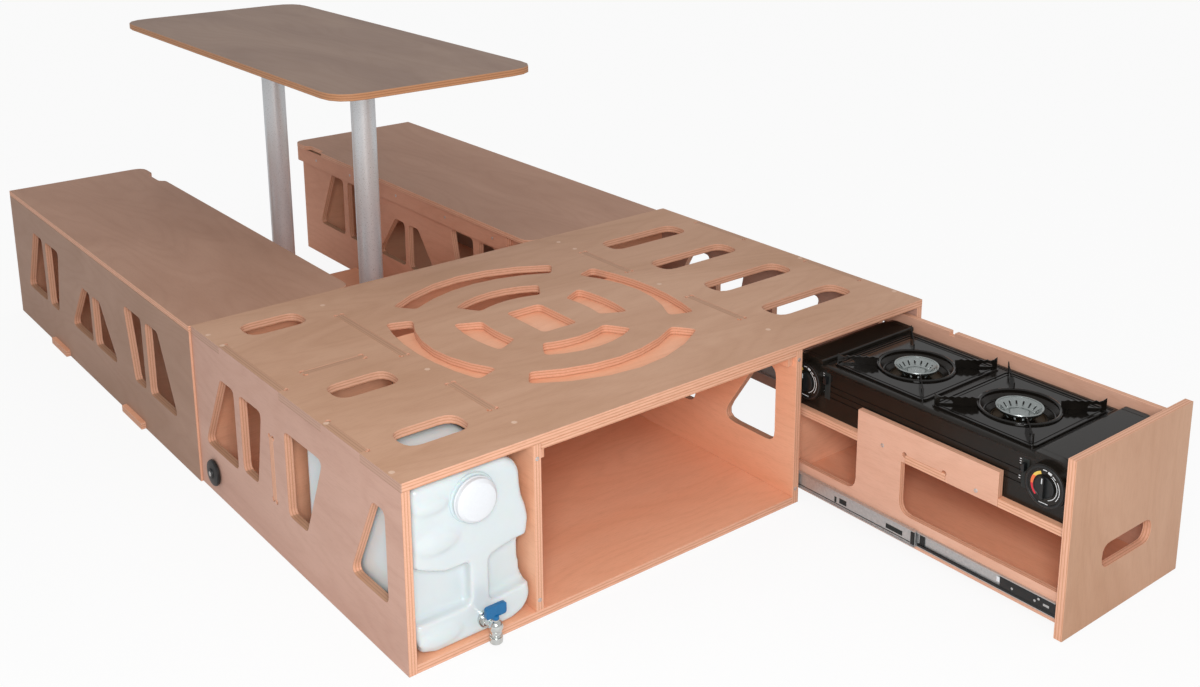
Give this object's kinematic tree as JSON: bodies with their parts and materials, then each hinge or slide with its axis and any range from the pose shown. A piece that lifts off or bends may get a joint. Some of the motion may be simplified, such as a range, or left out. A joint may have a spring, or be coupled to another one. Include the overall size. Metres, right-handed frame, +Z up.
{
  "type": "camper van kitchen box",
  "caption": "Plywood camper kitchen box with stove drawer, water canister and worktop, joined to storage benches and a post table.",
  "frame": {"origin": "middle of the footprint on the floor, with the drawer pulled out", "axes": "+X to the drawer side of the kitchen box, +Y from the open front back to the benches, +Z up"},
  "size_m": [1.205, 2.551, 0.727],
  "materials": {
    "ply_face": "satin clear-coated birch plywood face",
    "ply_inner": "satin clear-coated birch plywood, warmer inside",
    "ply_table": "satin clear-coated birch plywood",
    "black_steel": "satin black enamel",
    "black_enamel": "gloss black enamel",
    "black_plastic": "matt black moulded plastic",
    "burner_metal": "cast, satin",
    "zinc": "zinc plated",
    "post_metal": "satin anodised",
    "collar_plastic": "matt dark grey",
    "canister_plastic": "milky translucent polyethylene",
    "cap_plastic": "white",
    "tap_plastic": "clear, slightly blue",
    "blue_plastic": "gloss blue"
  },
  "bodies": {
    "frame": {"box_top": "ply_face", "left_wall": "ply_face", "right_wall": "ply_face", "left_divider": "ply_inner", "right_divider": "ply_inner", "back_wall": "ply_inner", "box_floor": "ply_inner", "cross_wall": "ply_inner", "left_ledge": "ply_inner", "right_ledge": "ply_inner", "clamp_bolt": "zinc", "base_board": "ply_inner", "near_cabinet_rail": "zinc", "far_cabinet_rail": "zinc", "left_bench_outer_wall": "ply_face", "left_bench_aisle_wall": "ply_inner", "left_bench_near_end": "ply_inner", "left_bench_far_end": "ply_inner", "left_bench_floor": "ply_inner", "left_bench_strip": "ply_inner", "right_bench_outer_wall": "ply_face", "right_bench_aisle_wall": "ply_inner", "right_bench_near_end": "ply_inner", "right_bench_far_end": "ply_inner", "right_bench_floor": "ply_inner", "right_bench_strip": "ply_inner"},
    "worktop": {"worktop_board": "ply_inner"},
    "clamp": {"clamp_knob": "black_plastic"},
    "left_lid": {"left_bench_lid": "ply_face"},
    "right_lid": {"right_bench_lid": "ply_face"},
    "posts": {"near_post": "post_metal", "far_post": "post_metal"},
    "table": {"table_top": "ply_table", "near_collar": "collar_plastic", "far_collar": "collar_plastic"},
    "drawer": {"drawer_front": "ply_face", "drawer_near_side": "ply_inner", "drawer_far_side": "ply_inner", "drawer_back": "ply_inner", "drawer_bottom": "ply_inner", "stove_shelf": "ply_inner", "near_drawer_rail": "zinc", "far_drawer_rail": "zinc", "stove_body": "black_steel", "near_burner": "burner_metal", "far_burner": "burner_metal"},
    "near_slide_middle": {"near_middle_rail": "zinc"},
    "far_slide_middle": {"far_middle_rail": "zinc"},
    "near_hood": {"near_hood": "black_steel"},
    "far_hood": {"far_hood": "black_steel"},
    "near_pan": {"near_pan_support": "black_enamel"},
    "far_pan": {"far_pan_support": "black_enamel"},
    "near_dial": {"near_dial": "black_plastic"},
    "far_dial": {"far_dial": "black_plastic"},
    "near_lever": {"near_lever": "black_plastic"},
    "far_lever": {"far_lever": "black_plastic"},
    "canister": {"canister_body": "canister_plastic", "tap_body": "tap_plastic"},
    "cap": {"canister_cap": "cap_plastic"},
    "tap_handle": {"tap_lever": "blue_plastic"}
  },
  "joints": [
    {"name": "drawer_slide", "type": "slide", "parent": "frame", "child": "drawer", "axis": [0, -1, 0], "range_m": [-0.555, 0]},
    {"name": "near_middle_slide", "type": "slide", "parent": "frame", "child": "near_slide_middle", "axis": [0, -1, 0], "range_m": [-0.2775, 0]},
    {"name": "far_middle_slide", "type": "slide", "parent": "frame", "child": "far_slide_middle", "axis": [0, -1, 0], "range_m": [-0.2775, 0]},
    {"name": "worktop_slide", "type": "slide", "parent": "frame", "child": "worktop", "axis": [0, -1, 0], "range_m": [0, 0.4]},
    {"name": "clamp_turn", "type": "hinge", "parent": "frame", "child": "clamp", "pos_m": [-0.5945, 0.0155, 0.048], "axis": [-1, 0, 0], "continuous": true},
    {"name": "left_lid_hinge", "type": "hinge", "parent": "frame", "child": "left_lid", "pos_m": [-0.5925, 0.6735, 0.314], "axis": [0, -1, 0], "range_deg": [0, 75]},
    {"name": "right_lid_hinge", "type": "hinge", "parent": "frame", "child": "right_lid", "pos_m": [0.5825, 0.6735, 0.314], "axis": [0, 1, 0], "range_deg": [0, 75]},
    {"name": "posts_lift", "type": "slide", "parent": "frame", "child": "posts", "axis": [0, 0, 1], "range_m": [0, 0.1]},
    {"name": "table_lift", "type": "slide", "parent": "posts", "child": "table", "axis": [0, 0, 1], "range_m": [0, 0.1]},
    {"name": "near_hood_hinge", "type": "hinge", "parent": "drawer", "child": "near_hood", "pos_m": [0.4165, -1.1855, 0.2824], "axis": [-1, 0, 0], "range_deg": [0, 80]},
    {"name": "far_hood_hinge", "type": "hinge", "parent": "drawer", "child": "far_hood", "pos_m": [0.4165, -0.7315, 0.2824], "axis": [1, 0, 0], "range_deg": [0, 22]},
    {"name": "near_pan_lift", "type": "slide", "parent": "drawer", "child": "near_pan", "axis": [0, 0, 1], "range_m": [0, 0.05]},
    {"name": "far_pan_lift", "type": "slide", "parent": "drawer", "child": "far_pan", "axis": [0, 0, 1], "range_m": [0, 0.05]},
    {"name": "near_dial_turn", "type": "hinge", "parent": "drawer", "child": "near_dial", "pos_m": [0.2705, -1.2155, 0.2432], "axis": [-1, 0, 0], "range_deg": [0, 180]},
    {"name": "far_dial_turn", "type": "hinge", "parent": "drawer", "child": "far_dial", "pos_m": [0.2705, -0.7015, 0.2432], "axis": [-1, 0, 0], "range_deg": [0, 180]},
    {"name": "near_lever_slide", "type": "slide", "parent": "drawer", "child": "near_lever", "axis": [0, 0, -1], "range_m": [0, 0.025]},
    {"name": "far_lever_slide", "type": "slide", "parent": "drawer", "child": "far_lever", "axis": [0, 0, -1], "range_m": [0, 0.025]},
    {"name": "canister_slide", "type": "slide", "parent": "frame", "child": "canister", "axis": [0, -1, 0], "range_m": [0, 0.35]},
    {"name": "cap_turn", "type": "hinge", "parent": "canister", "child": "cap", "pos_m": [-0.4615, -0.7125, 0.2592], "axis": [0, -1, 0], "continuous": true},
    {"name": "tap_turn", "type": "hinge", "parent": "canister", "child": "tap_handle", "pos_m": [-0.4435, -0.7285, 0.06], "axis": [0, 0, 1], "range_deg": [0, 90]}
  ],
  "couplings": [
    {"joint": "near_middle_slide", "follows": "drawer_slide", "ratio": 0.5},
    {"joint": "far_middle_slide", "follows": "drawer_slide", "ratio": 0.5}
  ]
}
